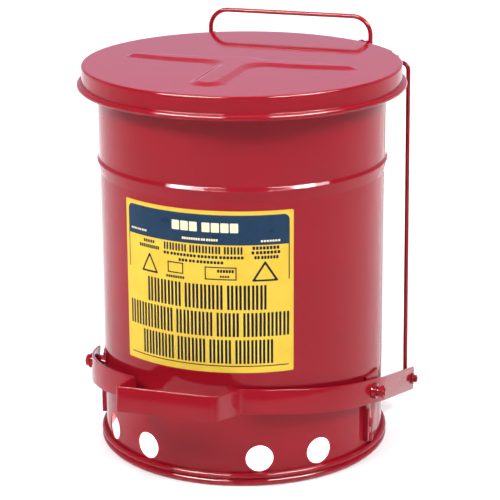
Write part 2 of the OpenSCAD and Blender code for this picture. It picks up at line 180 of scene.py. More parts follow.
RED = enamel("red_enamel", (0.275, 0.0055, 0.0135, 1), (0.305, 0.0065, 0.0165, 1))
LID_RED = enamel("red_enamel_lid", (0.28, 0.0055, 0.0135, 1), (0.30, 0.0062, 0.016, 1), wear=0.0)
INSIDE_RED = enamel(
    "red_enamel_inside", (0.25, 0.008, 0.014, 1), (0.31, 0.011, 0.018, 1), (0.3, 0.45)
)


def zinc():
    """Dull zinc plate with fine scratches."""
    mat, tree, shader = new_material("zinc_plate")
    cloud = noise(tree, 260.0, 5.0, 0.7)
    base = ramp(tree, cloud.outputs["Fac"], grey(0.42), (0.62, 0.61, 0.57, 1))
    tree.links.new(base.outputs["Color"], shader.inputs["Base Color"])
    gloss = span(tree, cloud.outputs["Fac"], 0.25, 0.45)
    tree.links.new(gloss.outputs["Result"], shader.inputs["Roughness"])
    scratch = noise(tree, 900.0, 2.0)
    bump(tree, shader, scratch.outputs["Fac"], 0.2, 0.00005)
    shader.inputs["Metallic"].default_value = 1.0
    return mat


ZINC = zinc()


def printed_film(name, low, high, rough):
    """Satin vinyl film that lies a little unevenly on the wall."""
    mat, tree, shader = new_material(name)
    cloud = noise(tree, 60.0, 4.0, 0.6)
    base = ramp(tree, cloud.outputs["Fac"], low, high)
    tree.links.new(base.outputs["Color"], shader.inputs["Base Color"])
    gloss = span(tree, cloud.outputs["Fac"], rough - 0.05, rough + 0.08)
    tree.links.new(gloss.outputs["Result"], shader.inputs["Roughness"])
    shader.inputs["Specular IOR Level"].default_value = 0.1
    ripple = noise(tree, 45.0, 2.0)
    bump(tree, shader, ripple.outputs["Fac"], 0.08, 0.0006)
    return mat


YELLOW = printed_film("label_yellow", (0.74, 0.50, 0.05, 1), (0.80, 0.55, 0.065, 1), 0.4)
NAVY = printed_film("label_navy", (0.012, 0.036, 0.078, 1), (0.016, 0.044, 0.092, 1), 0.3)
BLACK = printed_film("label_black", (0.006, 0.008, 0.02, 1), (0.01, 0.012, 0.028, 1), 0.4)
CREAM = printed_film("label_cream", (0.80, 0.76, 0.48, 1), (0.88, 0.84, 0.58, 1), 0.4)


# ---------------------------------------------------------------- mesh tools

SHARP = math.radians(38)


def make(name, verts, faces, body, material, slot, stands_for=(), sharp=SHARP):
    """A smooth mesh piece from points in millimetres, riding on a body."""
    mesh = bpy.data.meshes.new(name)
    mesh.from_pydata([tuple(c * MM for c in v) for v in verts], [], faces)
    mesh.validate()
    work = bmesh.new()
    work.from_mesh(mesh)
    bmesh.ops.recalc_face_normals(work, faces=work.faces)
    work.to_mesh(mesh)
    work.free()
    mesh.shade_smooth()
    mesh.set_sharp_from_angle(angle=sharp)
    obj = bpy.data.objects.new(name, mesh)
    bpy.context.scene.collection.objects.link(obj)
    mesh.materials.append(material)
    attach(obj, body)
    if stands_for:
        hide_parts(*stands_for)
    return obj


def arc(cx, cy, r, a0, a1, n):
    """Points on a circle from a0 to a1 degrees."""
    return [
        (cx + r * math.cos(math.radians(a0 + (a1 - a0) * i / n)),
         cy + r * math.sin(math.radians(a0 + (a1 - a0) * i / n)))
        for i in range(n + 1)
    ]


def rounded(points, radii, closed=True, steps=5):
    """A polyline with each corner rounded to its radius."""
    out, count = [], len(points)
    for i, p in enumerate(points):
        r = radii[i] if hasattr(radii, "__len__") else radii
        if r <= 0 or (not closed and i in (0, count - 1)):
            out.append(tuple(p))
            continue
        p = np.array(p, float)
        a = np.array(points[i - 1], float) - p
        b = np.array(points[(i + 1) % count], float) - p
        la, lb = np.linalg.norm(a), np.linalg.norm(b)
        a, b = a / la, b / lb
        half = math.acos(max(-1, min(1, float(a @ b)))) / 2
        if half > math.radians(89):
            out.append(tuple(p))
            continue
        reach = min(r / math.tan(half), la * 0.49, lb * 0.49)
        rr = reach * math.tan(half)
        mid = (a + b) / np.linalg.norm(a + b)
        centre = p + mid * (rr / math.sin(half))
        s, e = p + a * reach - centre, p + b * reach - centre
        turn = math.atan2(s[0] * e[1] - s[1] * e[0], float(s @ e))
        for k in range(steps + 1):
            t = turn * k / steps
            out.append(
                (centre[0] + s[0] * math.cos(t) - s[1] * math.sin(t),
                 centre[1] + s[0] * math.sin(t) + s[1] * math.cos(t))
            )
    return out


def grid_faces(rows, cols, wrap_rows, wrap_cols):
    """Quads between rows of points, closed round in either direction."""
    faces = []
    for i in range(rows if wrap_rows else rows - 1):
        for j in range(cols if wrap_cols else cols - 1):
            a, b = i * cols + j, i * cols + (j + 1) % cols
            c = ((i + 1) % rows) * cols + (j + 1) % cols
            d = ((i + 1) % rows) * cols + j
            faces.append((a, b, c, d))
    return faces


def capped_grid(rows, cols):
    """Quads along a tube of rings, with a flat face over each end."""
    faces = grid_faces(rows, cols, False, True)
    faces.append(tuple(range(cols - 1, -1, -1)))
    faces.append(tuple((rows - 1) * cols + k for k in range(cols)))
    return faces


ON_AXIS = 1e-6


def lathe(profile, segments, closed=True):
    """A profile of (radius, height) turned about Z. An open profile ends on the axis."""
    rings = [p for p in profile if p[0] > ON_AXIS]
    verts = []
    for r, z in rings:
        for k in range(segments):
            t = 2 * math.pi * k / segments
            verts.append((r * math.cos(t), r * math.sin(t), z))
    faces = grid_faces(len(rings), segments, closed, True)
    if closed:
        return verts, faces
    for at_start in (True, False):
        end = profile[0] if at_start else profile[-1]
        ring = 0 if at_start else (len(rings) - 1) * segments
        if end[0] > ON_AXIS:
            continue
        verts.append((0, 0, end[1]))
        tip = len(verts) - 1
        for k in range(segments):
            a, b = ring + k, ring + (k + 1) % segments
            faces.append((tip, b, a) if at_start else (tip, a, b))
    return verts, faces


def stepped(plan, step):
    """Points along a polyline, about one step apart on its long stretches."""
    out = []
    for (x0, z0), (x1, z1) in zip(plan, plan[1:]):
        count = max(1, int(math.hypot(x1 - x0, z1 - z0) // step))
        out += [(x0 + (x1 - x0) * k / count, z0 + (z1 - z0) * k / count) for k in range(count)]
    return out + [plan[-1]]


def moved(verts, matrix):
    """The points after a turn and a shift."""
    return [tuple(matrix @ Vector(v)) for v in verts]


def joined(*parts):
    """Several meshes as one."""
    verts, faces = [], []
    for v, f in parts:
        base = len(verts)
        verts += v
        faces += [tuple(i + base for i in face) for face in f]
    return verts, faces


def along_x(x, y, z):
    """Turns a lathe's axis from Z to +X and moves it."""
    return Matrix.Translation((x, y, z)) @ Matrix.Rotation(math.pi / 2, 4, "Y")


def along_minus_x(x, y, z):
    """Turns a lathe's axis from Z to -X and moves it."""
    return Matrix.Translation((x, y, z)) @ Matrix.Rotation(-math.pi / 2, 4, "Y")


def tube(path, radius, sides=24, dome=0.35):
    """A round wire along a path, with softly rounded ends."""
    pts = [np.array(p, float) for p in path]
    tangents = []
    for i in range(len(pts)):
        t = pts[min(i + 1, len(pts) - 1)] - pts[max(i - 1, 0)]
        tangents.append(t / np.linalg.norm(t))
    up = np.array([0.0, 0, 1]) if abs(tangents[0][2]) < 0.9 else np.array([0.0, 1, 0])
    side = np.cross(tangents[0], up)
    side /= np.linalg.norm(side)
    verts = []

    def ring(centre, s, t, r):
        o = np.cross(t, s)
        for k in range(sides):
            a = 2 * math.pi * k / sides
            verts.append(tuple(centre + r * (math.cos(a) * s + math.sin(a) * o)))

    for i, (p, t) in enumerate(zip(pts, tangents)):
        side = side - t * float(side @ t)
        side /= np.linalg.norm(side)
        if i == 0:
            ring(p, side, t, radius - dome)
            ring(p + t * dome, side, t, radius)
        elif i == len(pts) - 1:
            ring(p - t * dome, side, t, radius)
            ring(p, side, t, radius - dome)
        else:
            ring(p, side, t, radius)
    return verts, capped_grid(len(verts) // sides, sides)


NUT_SIDES = 72
NUT_LEAD_IN = 0.4
NUT_CHAMFER = 28


def hex_nut(flats, height, bore):
    """A hexagonal nut from z = 0 to its height, with turned corners."""
    face_r = flats / 2 * 0.95
    verts = []

    def ring(kind, z):
        for k in range(NUT_SIDES):
            a = 360.0 * k / NUT_SIDES
            hexed = flats / 2 / math.cos(math.radians((a % 60) - 30))
            r, drop = {"bore": bore, "face": face_r, "edge": hexed - 0.12}[kind], 0
            if kind == "edge":
                drop = max(hexed - face_r, 0) * math.tan(math.radians(NUT_CHAMFER))
            side = 1 if z < height / 2 else -1
            x, y = r * math.cos(math.radians(a)), r * math.sin(math.radians(a))
            verts.append((x, y, z + side * drop))

    ring("bore", NUT_LEAD_IN)
    ring("face", 0)
    ring("edge", 0)
    ring("edge", height)
    ring("face", height)
    ring("bore", height - NUT_LEAD_IN)
    return verts, grid_faces(len(verts) // NUT_SIDES, NUT_SIDES, True, True)


def washer(r_out, r_in, t):
    """A round washer from z = 0 up, with its edges softened."""
    edge = min(0.2, t * 0.3)
    profile = rounded([(r_in, 0), (r_out, 0), (r_out, t), (r_in, t)], edge, True, 2)
    return lathe(profile, 48)


def dome_head(r, h, skirt=0.35):
    """A low domed rivet head standing on z = 0."""
    dome = arc(0, 0, 1, 90, 0, 8)[1:]
    profile = [(0, h)] + [(r * out, skirt + (h - skirt) * up) for out, up in dome]
    profile += [(r, 0.0), (0, 0.0)]
    return lathe(profile, 40, closed=False)


THREAD_PITCH = 1.25
THREAD_DEPTH = 0.45


def threaded_end(r, length, start):
    """A stud from z = 0, with shallow thread grooves beyond start and a bevelled end."""
    profile = [(0, 0), (r, 0)]
    z = start
    while z < length - 1.4:
        groove = z + THREAD_PITCH / 2
        profile += [(r, z + 0.1), (r - THREAD_DEPTH, groove), (r, z + THREAD_PITCH - 0.1)]
        z += THREAD_PITCH
    profile += [(r, length - 1.0), (r - 0.8, length), (0, length)]
    return lathe(profile, 40, closed=False)


def from_front(r, a):
    """A point at a radius and an angle from the can's front, seen from above."""
    return (r * math.sin(math.radians(a)), -r * math.cos(math.radians(a)))


def at_front_angle(a, r, z):
    """Places a lathe's axis along the outward radius at an angle from the front."""
    x, y = from_front(r, a)
    return (
        Matrix.Translation((x, y, z))
        @ Matrix.Rotation(math.radians(a - 90), 4, "Z")
        @ Matrix.Rotation(math.pi / 2, 4, "Y")
    )


# ---------------------------------------------------------------- can body

WALL_R = 146.0
UPPER_R = 146.7
WALL_T = 1.2
RIM_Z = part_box("body_shell")[1].z / MM
CURL_R = 2.5
CURL_AXIS = (UPPER_R + CURL_R - WALL_T, RIM_Z - CURL_R)
FLOOR_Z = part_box("floor_pan")[1].z / MM
VENT_Z = 28.5
VENT_R = 13.6
VENT_ANGLES = (24, 49)
BEAD_Z = 305.0
BEAD_R = WALL_R + 2.75
LOW_Z = 1.5
PLAIN_WALL_Z = 290


def outer_wall():
    """The outside of the wall, from the floor over the swaged bead to the curl."""
    outer = [(WALL_R, LOW_Z)]
    outer += [(WALL_R, z) for z in np.linspace(4, PLAIN_WALL_Z, 60)]
    outer += rounded(
        [(WALL_R, PLAIN_WALL_Z + 0.5), (WALL_R, BEAD_Z - 12), (BEAD_R, BEAD_Z - 0.6),
         (BEAD_R, BEAD_Z + 0.4), (UPPER_R, BEAD_Z + 3.4), (UPPER_R, BEAD_Z + 8)],
        [0, 7, 0.9, 0.9, 1.6, 0], False, 6,
    )
    outer += [(UPPER_R, z) for z in np.linspace(BEAD_Z + 10, CURL_AXIS[1] - 1, 20)]
    return outer


def body_mesh():
    """One sheet: up the outside, round the curl and down the inside."""
    top = arc(*CURL_AXIS, CURL_R, 180, -150, 30)
    under = arc(*CURL_AXIS, CURL_R - WALL_T, -150, 180, 22)
    inner_edge = [(UPPER_R - WALL_T, z) for z in np.linspace(CURL_AXIS[1], BEAD_Z + 8, 12)]
    inner_rest = rounded(
        [(UPPER_R - WALL_T, BEAD_Z + 7), (UPPER_R - WALL_T, BEAD_Z + 4),
         (WALL_R + 1.5, BEAD_Z), (WALL_R - WALL_T, BEAD_Z - 12),
         (WALL_R - WALL_T, PLAIN_WALL_Z)],
        [0, 1.5, 1.5, 6, 0], False, 5,
    )
    low = [(WALL_R - WALL_T, z) for z in np.linspace(PLAIN_WALL_Z - 2, LOW_Z, 40)]
    profile = outer_wall() + under[::-1] + top[::-1] + inner_edge + inner_rest + low
    return lathe(profile, 360)


def cut_holes(obj, cutters):
    """Cuts radial holes with an exact boolean, applied to the mesh."""
    work = bpy.data.meshes.new("cutter")
    verts, faces = joined(*cutters)
    work.from_pydata([tuple(c * MM for c in v) for v in verts], [], faces)
    tool = bpy.data.objects.new("cutter", work)
    bpy.context.scene.collection.objects.link(tool)
    mod = obj.modifiers.new("holes", "BOOLEAN")
    mod.operation = "DIFFERENCE"
    mod.solver = "EXACT"
    mod.object = tool
    bpy.context.view_layer.update()
    graph = bpy.context.evaluated_depsgraph_get()
    result = bpy.data.meshes.new_from_object(obj.evaluated_get(graph))
    obj.modifiers.clear()
    old = obj.data
    obj.data = result
    bpy.data.meshes.remove(old)
    bpy.data.objects.remove(tool)
    bpy.data.meshes.remove(work)


def smooth_wall_normals(obj, top):
    """Below a height, the faces of the round wall take the true round normal."""
    mesh = obj.data
    mesh.shade_smooth()
    mesh.set_sharp_from_angle(angle=SHARP)
    normals = np.zeros(len(mesh.loops) * 3, np.float32)
    mesh.corner_normals.foreach_get("vector", normals)
    normals = normals.reshape(-1, 3)
    co = np.zeros(len(mesh.vertices) * 3, np.float32)
    mesh.vertices.foreach_get("co", co)
    co = co.reshape(-1, 3)
    for face in mesh.polygons:
        n = face.normal
        if abs(n.z) > 0.3:
            continue
        ring = [co[v] for v in face.vertices]
        if max(p[2] for p in ring) > top:
            continue
        c = face.center
        flat = math.hypot(c.x, c.y)
        facing = (n.x * c.x + n.y * c.y) / flat
        if abs(facing) < 0.97:
            continue
        sign = 1 if facing > 0 else -1
        for loop, p in zip(face.loop_indices, ring):
            r = math.hypot(p[0], p[1])
            normals[loop] = (sign * p[0] / r, sign * p[1] / r, 0)
    mesh.normals_split_custom_set([tuple(n) for n in normals])


def vent_cutters():
    """Plugs through the wall at every vent, front and back."""
    reach = 30
    out = []
    for back in (0, 180):
        for side in (-1, 1):
            for a in VENT_ANGLES:
                v, f = lathe([(0, 0), (VENT_R, 0), (VENT_R, reach), (0, reach)], 64, closed=False)
                place = at_front_angle(back + side * a, WALL_R - reach / 2, VENT_Z)
                out.append((moved(v, place), f))
    return out


body = make("can_body", *body_mesh(), "can", RED, "red_enamel", ["body_shell", "rim_wire"])
cut_holes(body, vent_cutters())
smooth_wall_normals(body, PLAIN_WALL_Z * MM)


PAN_BEND = 2.2
PAN_SKIRT = 12


def floor_pan_mesh():
    """A slightly dished pan with its edge turned down inside the wall."""
    r = WALL_R - WALL_T - 0.05
    dish = [(0, 0.2), (40, 0.2), (90, 0.1)]
    profile = [(x, FLOOR_Z - drop) for x, drop in dish] + [(r - 6, FLOOR_Z)]
    profile += arc(r - PAN_BEND, FLOOR_Z - PAN_BEND, PAN_BEND, 90, 0, 6)
    profile += [(r, FLOOR_Z - PAN_SKIRT), (r - WALL_T, FLOOR_Z - PAN_SKIRT)]
    profile += arc(r - PAN_BEND, FLOOR_Z - PAN_BEND, PAN_BEND - WALL_T, 0, 90, 5)
    profile += [(x, FLOOR_Z - drop - WALL_T) for x, drop in reversed(dish)]
    return lathe(profile, 240, closed=False)


make("raised_floor", *floor_pan_mesh(), "can", INSIDE_RED, "red_enamel", ["floor_pan"])


def foot_ring_mesh():
    """The ring's section: two rolls outside, and a flange up inside the wall."""
    roll_r, roll = 148.3, 2.7
    profile = [(146.02, 13.3)]
    profile += arc(roll_r, 11.3, roll, 130, -42, 14)
    profile += rounded([(149.9, 9.0), (147.9, 8.1), (149.9, 7.2)], [0, 1.0, 0], False, 5)
    profile += arc(roll_r, 4.9, roll, 42, -45, 10)
    profile += [(149.6, 2.0), (148.2, 0.5), (146.8, 0), (143.9, 0)]
    profile += [(143.45, 0.4), (143.4, 1.5), (143.4, 8.6)]
    profile += arc(144.08, 8.6, 0.68, 180, 0, 5)
    profile += [(144.76, 1.3), (146.02, 1.3)]
    return lathe(profile, 360)


make("foot_ring", *foot_ring_mesh(), "can", RED, "red_enamel", ["base_ring"],
     sharp=math.radians(60))


# ---------------------------------------------------------------- label

LABEL_LOW, LABEL_HIGH = (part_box("label")[i].z / MM for i in (0, 1))
LABEL_BACK_R = 146.02
LABEL_R = 146.35
LABEL_TURN = 2.0
LABEL_ANGLE = 71.2
LABEL_W = math.radians(LABEL_ANGLE) * LABEL_R
LABEL_H = LABEL_HIGH - LABEL_LOW
HEADER_Z = 131
PRINT_T = 0.05


def on_label(u, v, r):
    """A point on the label: u across from its left edge, v up from its bottom edge."""
    a = LABEL_TURN - LABEL_ANGLE / 2 + math.degrees(u / LABEL_R)
    x, y = from_front(r, a)
    return (x, y, LABEL_LOW + v)


def film(outline_sets, r0, r1, step=3.0):
    """Thin closed patches on the label from 2D outlines, in strips that follow the curve."""
    verts, faces = [], []
    for outline in outline_sets:
        work = bmesh.new()
        ring = [work.verts.new((u, v, 0)) for u, v in outline]
        work.faces.new(ring)
        us = [p[0] for p in outline]
        cut = math.floor(min(us) / step) * step + step
        while cut < max(us):
            geom = work.verts[:] + work.edges[:] + work.faces[:]
            bmesh.ops.bisect_plane(work, geom=geom, plane_co=(cut, 0, 0), plane_no=(1, 0, 0))
            cut += step
        bmesh.ops.triangulate(work, faces=work.faces[:])
        work.verts.ensure_lookup_table()
        work.verts.index_update()
        n = len(work.verts)
        base = len(verts)
        verts += [on_label(v.co.x, v.co.y, r1) for v in work.verts]
        verts += [on_label(v.co.x, v.co.y, r0) for v in work.verts]
        for f in work.faces:
            idx = [v.index for v in f.verts]
            faces.append(tuple(base + i for i in idx))
            faces.append(tuple(base + n + i for i in reversed(idx)))
        for e in work.edges:
            if len(e.link_faces) == 1:
                a, b = e.verts[0].index, e.verts[1].index
                faces.append((base + a, base + b, base + n + b, base + n + a))
        work.free()
    return verts, faces


def block(u0, v0, u1, v1, r):
    """A bar's outline with rounded corners."""
    r = min(r, (u1 - u0) * 0.45, (v1 - v0) * 0.45)
    return rounded([(u0, v0), (u1, v0), (u1, v1), (u0, v1)], r, True, 3)


BAR_PITCH = 1.6


def greek_words(words, u0, u1, v0, v1, gap=0.3, space=0.62, strokes=1):
    """A line of plain upright bars that stands for a line of print."""
    letters = sum(words)
    unit = (u1 - u0) / (letters + gap * (letters - len(words)) + space * (len(words) - 1))
    bar = unit / (BAR_PITCH * (strokes - 1) + 1)
    out, u = [], u0
    for count in words:
        for _ in range(count):
            for k in range(strokes):
                at = u + BAR_PITCH * bar * k
                out.append(block(at, v0, at + bar, v1, min(0.8, bar * 0.25)))
            u += unit * (1 + gap)
        u += unit * (space - gap)
    return out


def print_lines(lines, **style):
    """Lines of print, each placed by shares of the label's width and by heights."""
    out = []
    for words, left, right, low, high in lines:
        out += greek_words(words, left * LABEL_W, right * LABEL_W, low, high, **style)
    return out


def frame_lines():
    """The label's thin border: two short verticals under the header and one rule below."""
    w, r = LABEL_W, 0.3
    return [
        block(4.0, 96, 5.1, HEADER_Z, r), block(w - 5.1, 95, w - 4.0, HEADER_Z, r),
        block(6, 6.4, w - 5, 7.4, r),
    ]


def triangle(cu, v0, w, h, t):
    """An empty triangle drawn with a line."""
    outer = rounded([(cu - w / 2, v0), (cu + w / 2, v0), (cu, v0 + h)], 0.8, True, 3)
    k = 1 - 2.9 * t / h
    cv = v0 + h / 3
    inner = [(cu + (u - cu) * k, cv + (v - cv) * k) for u, v in outer]
    parts = []
    for i in range(len(outer)):
        j = (i + 1) % len(outer)
        parts.append([outer[i], outer[j], inner[j], inner[i]])
    return parts


def box_outline(u0, v0, u1, v1, t):
    """An empty box drawn with a line."""
    return [
        block(u0, v0, u1, v0 + t, 0), block(u0, v1 - t, u1, v1, 0),
        block(u0, v0 + t, u0 + t, v1 - t, 0), block(u1 - t, v0 + t, u1, v1 - t, 0),
    ]


# each line: letters in its words, left and right ends, bottom and top
TITLE = [([3, 4], 0.33, 0.70, 143.5, 153)]
HEADER_SMALL = [
    ([8, 2, 5], 0.39, 0.59, 134.6, 137.0), ([4, 2, 3], 0.045, 0.16, 135.6, 137.6),
    ([7], 0.82, 0.925, 134.0, 136.0),
]
BOLD = [
    ([5, 5, 5], 0.165, 0.85, 65.2, 90.4), ([7, 5, 3, 6], 0.03, 0.975, 37.4, 62.2),
    ([5, 4, 3, 5], 0.125, 0.885, 9.4, 34.2), ([4, 5, 3], 0.278, 0.722, 121.8, 129.4),
]
SMALL = [
    ([2, 8, 6, 7], 0.276, 0.728, 117.0, 120.0), ([3, 2, 8], 0.368, 0.619, 111.6, 114.6),
    ([5], 0.14, 0.215, 125.2, 128.4), ([10], 0.108, 0.246, 119.6, 123.2),
    ([8], 0.775, 0.92, 126.4, 129.8), ([1, 7], 0.77, 0.925, 121.8, 125.0),
    ([2, 6], 0.785, 0.915, 116.8, 120.2), ([8], 0.29, 0.40, 93.6, 96.4),
    ([6], 0.585, 0.675, 103.0, 106.2), ([4], 0.60, 0.65, 98.0, 100.2),
]


def label_pieces():
    """The yellow sheet, the navy header, the dark print and the header's pale print."""
    w, h = LABEL_W, LABEL_H
    sheet = film([block(0, 0, w, h, 1.5)], LABEL_BACK_R, LABEL_R)
    head = rounded(
        [(4, HEADER_Z), (w - 4, HEADER_Z), (w - 4, h - 4), (4, h - 4)], [0, 0, 6, 6], True, 5
    )
    navy = film([head], LABEL_R - 0.01, LABEL_R + PRINT_T)
    light = print_lines(TITLE, gap=0.16, space=0.6) + print_lines(HEADER_SMALL)
    dark = print_lines(BOLD, space=0.7, strokes=2) + print_lines(SMALL)
    marks = triangle(0.18 * w, 95, 21, 20.5, 2.0) + triangle(0.843 * w, 94.2, 27, 21, 2.0)
    marks += box_outline(0.517 * w, 95.5, 0.69 * w, 108.8, 1.2)
    marks += box_outline(0.30 * w, 98.8, 0.395 * w, 110.2, 1.2)
    black = film(dark + marks + frame_lines(), LABEL_R - 0.01, LABEL_R + PRINT_T)
    cream = film(light, LABEL_R + 0.04, LABEL_R + PRINT_T + 0.04)
    return sheet, navy, black, cream


sheet, navy, black, cream = label_pieces()
make("label_sheet", *sheet, "can", YELLOW, "label_film", ["label"])
make("label_header", *navy, "can", NAVY, "label_film")
make("label_print", *black, "can", BLACK, "label_film")
make("label_header_print", *cream, "can", CREAM, "label_film")


# ---------------------------------------------------------------- lid

LID_Z = 401.5
SKIRT_R = 162.5
HEM = (164.4, 380.9)
HEM_R = 3.1
LID_EDGE_R = 2.2
EMBOSS_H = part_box("lid_panel")[1].z / MM - LID_Z
BAR_HALF_LENGTH = 121.5
BAR_HALF_WIDTH = 14.25
BAR_TAPER = 7.2
BAR_MID_Y, BAR_BOW = -4.25, 0.6
BAR_END_X = 114
STEM_HALF_WIDTH = 17
STEM_END_Y = -105.8
T_BLEND = 26.0
T_FLANK = 11.0


def smooth_min(a, b, k):
    """The smaller of two distances, blended over a width k where they meet."""
    h = np.clip(0.5 + 0.5 * (b - a) / k, 0, 1)
    return b * (1 - h) + a * h - k * h * (1 - h)


def emboss_height(x, y):
    """Height of the pressed T: a tapered crossbar and a round-ended stem."""
    ax = np.abs(x)
    mid = BAR_MID_Y - BAR_BOW * np.clip(ax / BAR_HALF_LENGTH, 0, 1)
    half = BAR_HALF_WIDTH - BAR_TAPER * np.clip((ax - 55) / 62, 0, 1) ** 1.6
    bar = np.where(ax < BAR_END_X, np.abs(y - mid), np.hypot(ax - BAR_END_X, y - mid)) - half
    stem = np.where(y > STEM_END_Y, ax, np.hypot(x, y - STEM_END_Y)) - STEM_HALF_WIDTH
    stem = np.where(y > 0, np.hypot(ax, y) - 12, stem)
    d = smooth_min(bar, stem, T_BLEND) - 2.0
    s = np.clip(-d / T_FLANK, 0, 1)
    return EMBOSS_H * s * s * (3 - 2 * s)


LID_SEGMENTS = 540


def lid_mesh():
    """The lid's sheet, from its middle out over the skirt, round the hem and back under."""
    t = WALL_T
    top = [(r, LID_Z) for r in np.linspace(1.2, 156, 118)]
    top += [(158.4, LID_Z), (160.2, LID_Z)]
    edge = arc(SKIRT_R - LID_EDGE_R, LID_Z - LID_EDGE_R, LID_EDGE_R, 86, 0, 9)
    skirt = [(SKIRT_R, z) for z in np.linspace(LID_Z - 4, HEM[1] + 4.2, 8)]
    flare = rounded(
        [(SKIRT_R, HEM[1] + 4.2), (SKIRT_R, HEM[1] + 2.9), (SKIRT_R + 1.6, HEM[1] + 2.6)],
        [0, 0.8, 0], False, 3,
    )[1:]
    hem = arc(*HEM, HEM_R, 118, -188, 34)
    inner_skirt = [(SKIRT_R - t, z) for z in np.linspace(HEM[1] + 2.2, LID_Z - 3.4, 8)]
    inner_edge = arc(SKIRT_R - t - LID_EDGE_R, LID_Z - t - LID_EDGE_R, LID_EDGE_R, 0, 86, 6)
    under = [(r, LID_Z - t) for r in np.linspace(157.0, 1.2, 90)]
    profile = top + edge + skirt + flare + hem + inner_skirt + inner_edge + under
    verts = np.array(lathe(profile, LID_SEGMENTS)[0])
    flat = (np.hypot(verts[:, 0], verts[:, 1]) < 157.5) & (verts[:, 2] > LID_Z - t - 0.1)
    verts[flat, 2] += emboss_height(verts[flat, 0], verts[flat, 1])
    return [tuple(v) for v in verts], capped_grid(len(profile), LID_SEGMENTS)


make("lid_pressing", *lid_mesh(), "lid", LID_RED, "red_enamel", ["lid_panel"],
     sharp=math.radians(50))


# ---------------------------------------------------------------- foot lever

BAND_H, BAND_T = 25.4, 2.5
FRONT_TILT, ARM_TILT = 9.0, 14.8
MID_RIGHT, MID_LEFT = 155.5 - BAND_T / 2, 160.5 - BAND_T / 2
PEDAL_LEFT, PEDAL_RIGHT, PEDAL_REACH = -70, 33, 195
STEP_X = 43
ARM_END_Y = 117.5


def lever_plan():
    """The strip's centreline seen from above, from its left end to its rear right end."""
    left_x, pedal_y = PEDAL_LEFT + BAND_T / 2, BAND_T / 2 - PEDAL_REACH
    left_a = math.degrees(math.asin(left_x / MID_LEFT))
    step_a = math.degrees(math.asin(STEP_X / MID_RIGHT))
    pts, radii = [], []

    def add(p, r=0.0):
        pts.append(p)
        radii.append(r)

    for a in np.arange(-84.5, left_a - 1.6, 1.5):
        add(from_front(MID_LEFT, a))
    add(from_front(MID_LEFT, left_a), 4.0)
    add((left_x, pedal_y), 3.2)
    for x in np.linspace(left_x + 12, PEDAL_RIGHT - 14, 8):
        add((x, pedal_y))
    add((PEDAL_RIGHT, pedal_y), 9.0)
    add(from_front(MID_RIGHT, step_a + 0.4), 9.0)
    for a in np.arange(step_a + 6.0, 89.5, 1.5):
        add(from_front(MID_RIGHT, a))
    add((MID_RIGHT, 0.0))
    for y in np.linspace(8, 124, 24):
        add((MID_RIGHT + (ROD_X - MID_RIGHT) * y / 120, y))
    return rounded(pts, radii, False, 7)


def lever_mesh():
    """The strip slopes down from the pedal to the rear, more steeply along the rear arm."""
    path = lever_plan()
    section = rounded(
        [(-BAND_T / 2, -BAND_H / 2), (BAND_T / 2, -BAND_H / 2),
         (BAND_T / 2, BAND_H / 2), (-BAND_T / 2, BAND_H / 2)], 0.7, True, 3,
    )
    n = len(section)
    verts = []
    for i, (x, y) in enumerate(path):
        a = np.array(path[max(i - 1, 0)])
        b = np.array(path[min(i + 1, len(path) - 1)])
        d = (b - a) / np.linalg.norm(b - a)
        out = (d[1], -d[0])
        s = min(max((y + 46) / 22, 0), 1) if x > 0 else 0.0
        tilt = math.radians(FRONT_TILT + (ARM_TILT - FRONT_TILT) * s * s * (3 - 2 * s))
        c, k = math.cos(tilt), math.sin(tilt)
        for u, v in section:
            px, py = x + out[0] * u, y + out[1] * u - LEVER_Y
            verts.append((px, LEVER_Y + py * c + v * k, LEVER_Z - py * k + v * c))
    return verts, capped_grid(len(path), n)


def square_off(obj, y):
    """Cuts the arm's rear end upright."""
    work = bmesh.new()
    work.from_mesh(obj.data)
    geom = work.verts[:] + work.edges[:] + work.faces[:]
    cut = bmesh.ops.bisect_plane(
        work, geom=geom, plane_co=(0, y * MM, 0), plane_no=(0, 1, 0), clear_outer=True
    )
    edges = [e for e in cut["geom_cut"] if isinstance(e, bmesh.types.BMEdge)]
    bmesh.ops.contextual_create(work, geom=edges)
    bmesh.ops.recalc_face_normals(work, faces=work.faces)
    work.to_mesh(obj.data)
    work.free()
    obj.data.shade_smooth()
    obj.data.set_sharp_from_angle(angle=SHARP)


lever = make("pedal_strip", *lever_mesh(), "foot_lever", RED, "red_enamel", ["foot_lever"])
square_off(lever, ARM_END_Y)


# ---------------------------------------------------------------- lift rod

ROD_R = 2.25
ROD_TOP_Y, ROD_TOP_Z = 110.0, 386.5
ROD_END_X, ROD_LEG_X, ROD_TIP_X = 163.4, 149.5, 129.8
# where the parts on the rod's level ends start
LOWER_WASHER_X, LOWER_NUT_X = 157.9, 159.1
TOP_WASHERS_X = (132.2, 136.3)
RISE = ROD_TOP_Z - ROD_Z
ROD_FRAME = (
    Matrix.Translation((ROD_X, ROD_Y, ROD_Z))
    @ Matrix.Rotation(math.radians(-0.41), 4, "Y")
    @ Matrix.Rotation(math.atan((ROD_Y - ROD_TOP_Y) / RISE), 4, "X")
    @ Matrix.Translation((-ROD_X, 0, 0))
)


def rod_path():
    """Out through the lever's arm, up beside the can, and in through the lid's ear."""
    plan = rounded(
        [(ROD_END_X, 0), (ROD_LEG_X, 0), (ROD_LEG_X, RISE), (ROD_TIP_X, RISE)],
        [0, 5, 8, 0], False, 12,
    )
    return [tuple(ROD_FRAME @ Vector((x, 0, z))) for x, z in stepped(plan, 12)]


make("lift_wire", *tube(rod_path(), ROD_R), "lift_rod", RED, "red_enamel", ["lift_rod"])


def on_rod(part, x, z=0.0):
    """A part whose own axis lies along the rod's level ends."""
    v, f = part
    return moved(v, ROD_FRAME @ along_x(x, 0, z)), f


